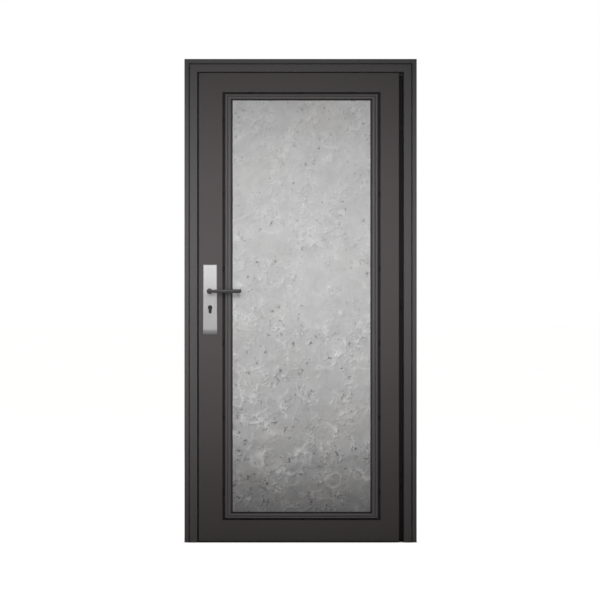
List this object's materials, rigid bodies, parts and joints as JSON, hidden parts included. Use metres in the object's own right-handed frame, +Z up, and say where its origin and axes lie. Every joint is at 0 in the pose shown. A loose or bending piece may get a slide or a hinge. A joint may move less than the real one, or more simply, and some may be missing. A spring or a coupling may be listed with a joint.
{
  "type": "security door",
  "caption": "Steel security door in its frame: dark painted tubes round a concrete-look panel, lever and profile lock on a long plate, hinges hidden in the jamb.",
  "frame": {"origin": "on the floor, midway across the frame, in the middle of the leaf's thickness", "axes": "+X to the right seen from outside, towards the hinges; +Y into the building; +Z up"},
  "size_m": [1, 0.187, 2.08],
  "materials": {
    "frame_paint": "satin",
    "leaf_paint": "satin",
    "bead_paint": "satin",
    "concrete_panel": "matte",
    "seal_rubber": "matte",
    "packer_plastic": "matte",
    "plate_steel": "satin",
    "lever_paint": "satin",
    "cylinder_metal": "satin",
    "hinge_steel": "satin",
    "lock_steel": "satin",
    "screw_steel": "satin"
  },
  "bodies": {
    "frame": {"lock_jamb": "frame_paint", "hinge_jamb": "frame_paint", "frame_head": "frame_paint", "lock_seal": "seal_rubber", "hinge_seal": "seal_rubber", "head_seal": "seal_rubber", "strike_plate": "hinge_steel", "strike_box": "lock_steel", "strike_screws": "screw_steel", "hinge_bracket_top": "hinge_steel", "hinge_pin_top": "hinge_steel", "hinge_bracket_middle": "hinge_steel", "hinge_pin_middle": "hinge_steel", "hinge_bracket_bottom": "hinge_steel", "hinge_pin_bottom": "hinge_steel"},
    "leaf": {"lock_stile": "leaf_paint", "hinge_stile": "leaf_paint", "top_rail": "leaf_paint", "bottom_rail": "leaf_paint", "bottom_sweep": "seal_rubber", "infill_panel": "concrete_panel", "panel_packers": "packer_plastic", "front_gasket": "seal_rubber", "back_gasket": "seal_rubber", "front_bead_clips": "hinge_steel", "back_bead_clips": "hinge_steel", "hinge_screws": "screw_steel", "lock_case": "lock_steel", "case_cover": "lock_steel", "lock_faceplate": "lock_steel", "faceplate_screws": "screw_steel", "cylinder_body": "cylinder_metal", "cylinder_screw": "screw_steel", "outer_backplate": "plate_steel", "inner_backplate": "plate_steel", "backplate_bolts": "screw_steel", "front_bead_lock": "bead_paint", "back_bead_lock": "bead_paint", "front_bead_hinge": "bead_paint", "back_bead_hinge": "bead_paint", "front_bead_top": "bead_paint", "back_bead_top": "bead_paint", "front_bead_bottom": "bead_paint", "back_bead_bottom": "bead_paint", "hinge_arm_top": "hinge_steel", "hinge_arm_middle": "hinge_steel", "hinge_arm_bottom": "hinge_steel"},
    "lever_set": {"outer_lever": "lever_paint", "inner_lever": "lever_paint", "spindle": "lock_steel", "follower": "lock_steel", "lever_set_screws": "screw_steel"},
    "latch": {"latch_bolt": "lock_steel"},
    "lock_bolt": {"dead_bolt": "lock_steel"},
    "key_side": {"outer_plug": "cylinder_metal", "cylinder_cam": "cylinder_metal"},
    "inner_key_side": {"inner_plug": "cylinder_metal"}
  },
  "joints": [
    {"name": "leaf_swing", "type": "hinge", "parent": "frame", "child": "leaf", "pos_m": [0.458, -0.013, 0], "axis": [0, 0, 1], "range_deg": [0, 95]},
    {"name": "lever_turn", "type": "hinge", "parent": "leaf", "child": "lever_set", "pos_m": [-0.389, 0, 1.08], "axis": [0, 1, 0], "range_deg": [0, 40], "stiffness_Nm_per_rad": 1.2, "springref_deg": -34.38},
    {"name": "latch_slide", "type": "slide", "parent": "leaf", "child": "latch", "axis": [-1, 0, 0], "range_m": [0, 0.012]},
    {"name": "dead_bolt_throw", "type": "slide", "parent": "leaf", "child": "lock_bolt", "axis": [-1, 0, 0], "range_m": [0, 0.02]},
    {"name": "key_turn", "type": "hinge", "parent": "leaf", "child": "key_side", "pos_m": [-0.389, 0, 1.01], "axis": [0, 1, 0], "range_deg": [0, 360]},
    {"name": "inner_key_turn", "type": "hinge", "parent": "leaf", "child": "inner_key_side", "pos_m": [-0.389, 0, 1.01], "axis": [0, 1, 0], "range_deg": [0, 360]}
  ],
  "couplings": [
    {"joint": "key_turn", "follows": "dead_bolt_throw", "rad_per_m": 314.06}
  ]
}
